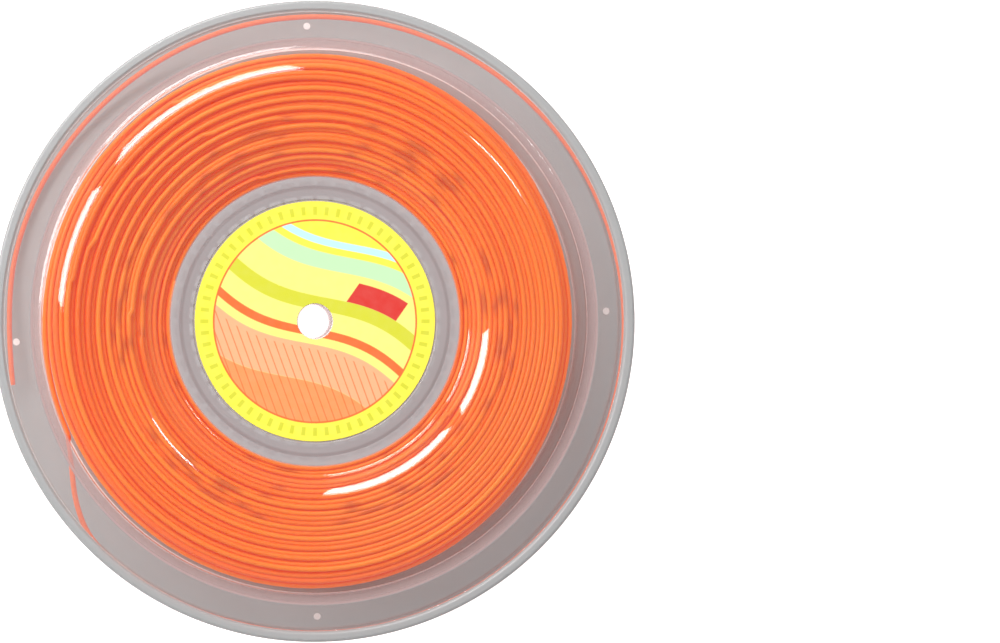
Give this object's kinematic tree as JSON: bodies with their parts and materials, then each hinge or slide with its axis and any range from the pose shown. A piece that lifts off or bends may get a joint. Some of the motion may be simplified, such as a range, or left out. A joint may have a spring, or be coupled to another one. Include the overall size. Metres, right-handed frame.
{
  "type": "string reel",
  "caption": "Clear two-flange spool that lies on its back flange, wound with orange tennis string, with a round paper label round its spindle hole",
  "frame": {"origin": "on the spindle axis, in the plane that the rear flange's raised ring rests on", "axes": "+Z along the spindle axis, out of the labelled front face; +X to the right and +Y up as the label is read"},
  "size_m": [0.15, 0.15, 0.046],
  "materials": {
    "clear_plastic": "clear moulded polystyrene, glossy, with fine handling scuffs",
    "printed_label": "coated paper printed in yellow, peach, orange, pale green and pale cyan",
    "orange_string": "drawn six-sided polyester monofilament, glossy"
  },
  "bodies": {
    "root": {"front_flange": "clear_plastic", "rear_flange": "clear_plastic", "core_tube": "clear_plastic", "front_label": "printed_label", "string_winding": "orange_string", "string_tail": "orange_string"}
  },
  "joints": []
}
